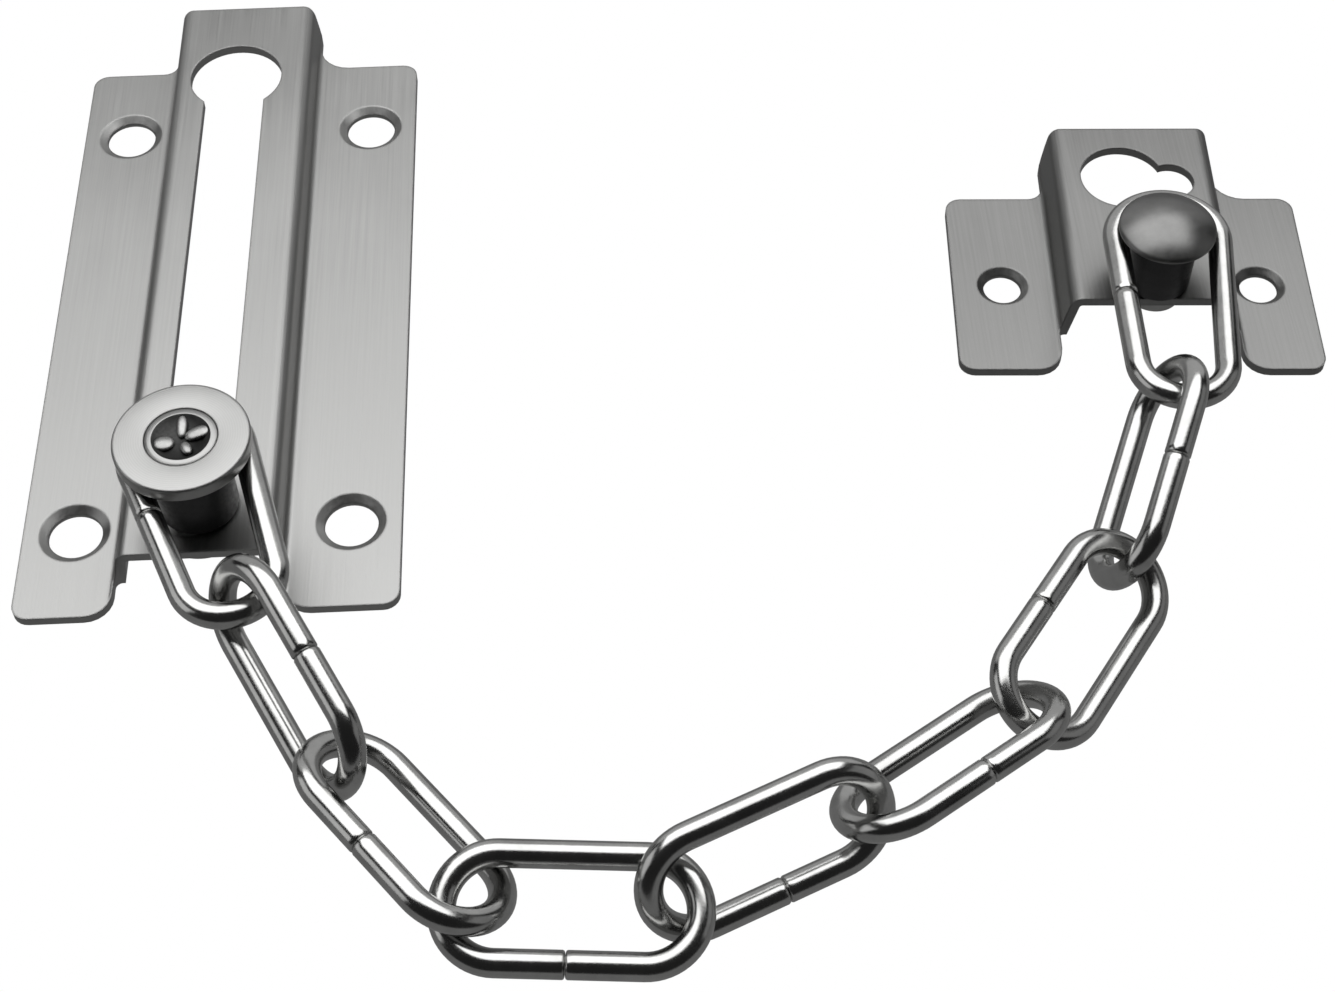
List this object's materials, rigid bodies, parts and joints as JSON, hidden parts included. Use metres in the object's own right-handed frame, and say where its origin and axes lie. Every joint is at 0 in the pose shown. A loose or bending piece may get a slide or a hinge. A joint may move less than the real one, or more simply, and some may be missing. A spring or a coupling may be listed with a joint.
{
  "type": "door chain guard",
  "caption": "Door chain guard: slotted slide plate with a headed slider, a chain of round-wire links, and a small anchor plate with a domed post.",
  "frame": {"origin": "centre of the slide plate's four screw holes, in the plane of its back face", "axes": "+Y along the slot towards the entry hole, +Z off the door, +X towards the anchor plate"},
  "size_m": [0.2008, 0.1869, 0.027],
  "materials": {
    "stainless": "satin, brushed along each plate",
    "plated": "satin",
    "black_nylon": "satin moulded",
    "turned": "fine turned",
    "screw": "satin",
    "dome": "polished",
    "link_steel": "polished"
  },
  "bodies": {
    "slide_plate": {"slide_plate": "stainless"},
    "slider": {"slider_foot": "plated", "slider_stud": "plated", "slider_sleeve": "black_nylon", "slider_disc": "turned", "slider_screw": "screw"},
    "link_1": {"link_1": "link_steel"},
    "link_2": {"link_2": "link_steel"},
    "link_3": {"link_3": "link_steel"},
    "link_4": {"link_4": "link_steel"},
    "link_5": {"link_5": "link_steel"},
    "link_6": {"link_6": "link_steel"},
    "link_7": {"link_7": "link_steel"},
    "link_8": {"link_8": "link_steel"},
    "link_9": {"link_9": "link_steel"},
    "anchor": {"anchor_plate": "stainless", "anchor_foot": "plated", "anchor_stud": "plated", "anchor_sleeve_ring": "black_nylon", "anchor_dome": "dome"}
  },
  "joints": [
    {"name": "slider_slide", "type": "slide", "parent": "slide_plate", "child": "slider", "axis": [0, 1, 0], "range_m": [0, 0.092]},
    {"name": "link_1_swing", "type": "hinge", "parent": "slider", "child": "link_1", "pos_m": [-0.0009, -0.042, 0], "axis": [0, 0, 1], "range_deg": [-40, 40]},
    {"name": "link_2_swing", "type": "hinge", "parent": "link_1", "child": "link_2", "pos_m": [0.00564, -0.06596, 0.0157], "axis": [-0.025, -0.5439, -0.8388], "range_deg": [-40, 40]},
    {"name": "link_3_swing", "type": "hinge", "parent": "link_2", "child": "link_3", "pos_m": [0.01909, -0.08647, 0.01047], "axis": [-0.5241, -0.6901, 0.4991], "range_deg": [-40, 40]},
    {"name": "link_4_swing", "type": "hinge", "parent": "link_3", "child": "link_4", "pos_m": [0.04168, -0.10241, 0.00483], "axis": [0.5669, -0.8238, 0.005], "range_deg": [0, 40]},
    {"name": "link_5_swing", "type": "hinge", "parent": "link_4", "child": "link_5", "pos_m": [0.06825, -0.11302, 0.00621], "axis": [0.3421, 0.9074, 0.2441], "range_deg": [-4, 40]},
    {"name": "link_6_swing", "type": "hinge", "parent": "link_5", "child": "link_6", "pos_m": [0.09257, -0.09924, 0.00548], "axis": [-0.3488, -0.5796, -0.7365], "range_deg": [-40, 40]},
    {"name": "link_7_swing", "type": "hinge", "parent": "link_6", "child": "link_7", "pos_m": [0.11546, -0.08637, 0.00647], "axis": [-0.8611, 0.244, 0.4461], "range_deg": [-40, 22]},
    {"name": "link_8_swing", "type": "hinge", "parent": "link_7", "child": "link_8", "pos_m": [0.13322, -0.05842, 0.00756], "axis": [0.7251, -0.5041, -0.4691], "range_deg": [-40, 40]},
    {"name": "link_9_swing", "type": "hinge", "parent": "link_8", "child": "link_9", "pos_m": [0.14316, -0.03716, 0.0165], "axis": [0.9945, -0.105, 0], "range_deg": [-10, 40]},
    {"name": "anchor_swivel", "type": "hinge", "parent": "link_9", "child": "anchor", "pos_m": [0.1455, -0.00621, 0], "axis": [0, 0, -1], "range_deg": [-40, 40]}
  ]
}
